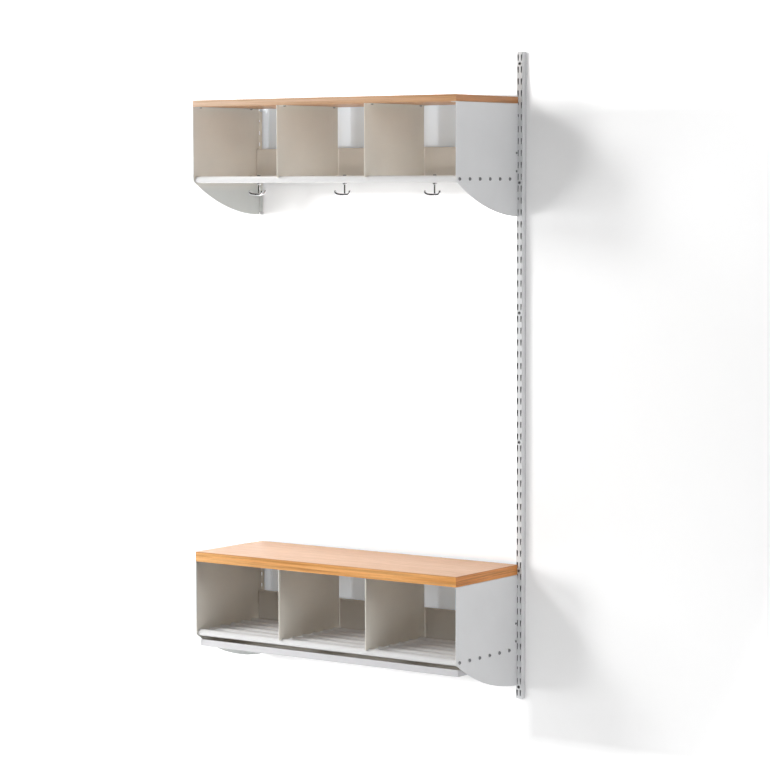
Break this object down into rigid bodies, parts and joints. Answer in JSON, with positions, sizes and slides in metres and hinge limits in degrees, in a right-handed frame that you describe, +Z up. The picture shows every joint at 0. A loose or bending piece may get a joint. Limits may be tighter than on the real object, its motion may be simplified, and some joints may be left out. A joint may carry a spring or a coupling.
{
  "type": "wall-mounted cloakroom unit",
  "caption": "Wall-hung cloakroom bay on a slotted upright: a hat shelf with cubbies and swivelling coat hooks above a shoe bench with cubbies, a tube floor and a drip tray that slides out.",
  "frame": {"origin": "on the wall plane, at the middle of the slotted upright's lower end", "axes": "+X along the wall towards the upright's outer side, +Y into the wall, +Z up; the unit's front faces -Y"},
  "size_m": [0.9084, 0.3153, 1.76],
  "materials": {
    "sheet_paint": "light grey-white powder coat with a fine satin grain",
    "tube_paint": "white powder coat, satin",
    "board_laminate": "oak laminate with matching edge band, satin",
    "chrome_plate": "bright chrome plating",
    "zinc_screw": "zinc-plated steel with a dark socket"
  },
  "bodies": {
    "rack": {"upright": "sheet_paint", "shelf_board": "board_laminate", "shelf_gable_left": "sheet_paint", "shelf_gable_right": "sheet_paint", "shelf_divider_left": "sheet_paint", "shelf_divider_right": "sheet_paint", "shelf_back_panel": "sheet_paint", "shelf_tube_1": "tube_paint", "shelf_tube_2": "tube_paint", "shelf_tube_3": "tube_paint", "shelf_tube_4": "tube_paint", "shelf_tube_5": "tube_paint", "shelf_tube_6": "tube_paint", "shelf_screw_left_1": "zinc_screw", "shelf_screw_left_2": "zinc_screw", "shelf_screw_left_3": "zinc_screw", "shelf_screw_left_4": "zinc_screw", "shelf_screw_left_5": "zinc_screw", "shelf_screw_left_6": "zinc_screw", "shelf_screw_right_1": "zinc_screw", "shelf_screw_right_2": "zinc_screw", "shelf_screw_right_3": "zinc_screw", "shelf_screw_right_4": "zinc_screw", "shelf_screw_right_5": "zinc_screw", "shelf_screw_right_6": "zinc_screw", "bench_board": "board_laminate", "bench_gable_left": "sheet_paint", "bench_gable_right": "sheet_paint", "bench_divider_left": "sheet_paint", "bench_divider_right": "sheet_paint", "bench_back_panel": "sheet_paint", "bench_tube_1": "tube_paint", "bench_tube_2": "tube_paint", "bench_tube_3": "tube_paint", "bench_tube_4": "tube_paint", "bench_tube_5": "tube_paint", "bench_tube_6": "tube_paint", "bench_screw_left_1": "zinc_screw", "bench_screw_left_2": "zinc_screw", "bench_screw_left_3": "zinc_screw", "bench_screw_left_4": "zinc_screw", "bench_screw_left_5": "zinc_screw", "bench_screw_left_6": "zinc_screw", "bench_screw_right_1": "zinc_screw", "bench_screw_right_2": "zinc_screw", "bench_screw_right_3": "zinc_screw", "bench_screw_right_4": "zinc_screw", "bench_screw_right_5": "zinc_screw", "bench_screw_right_6": "zinc_screw", "tray_runner_left": "sheet_paint", "tray_runner_right": "sheet_paint"},
    "tray": {"drip_tray": "sheet_paint"},
    "hook_left": {"coat_hook_1": "chrome_plate", "hook_bolt_1": "chrome_plate"},
    "hook_middle": {"coat_hook_2": "chrome_plate", "hook_bolt_2": "chrome_plate"},
    "hook_right": {"coat_hook_3": "chrome_plate", "hook_bolt_3": "chrome_plate"}
  },
  "joints": [
    {"name": "tray_slide", "type": "slide", "parent": "rack", "child": "tray", "axis": [0, -1, 0], "range_m": [0, 0.18]},
    {"name": "left_hook_swivel", "type": "hinge", "parent": "rack", "child": "hook_left", "pos_m": [-0.75, -0.2033, 1.4082], "axis": [0, 0, 1], "continuous": true},
    {"name": "middle_hook_swivel", "type": "hinge", "parent": "rack", "child": "hook_middle", "pos_m": [-0.45, -0.2033, 1.4082], "axis": [0, 0, 1], "continuous": true},
    {"name": "right_hook_swivel", "type": "hinge", "parent": "rack", "child": "hook_right", "pos_m": [-0.15, -0.2033, 1.4082], "axis": [0, 0, 1], "continuous": true}
  ]
}
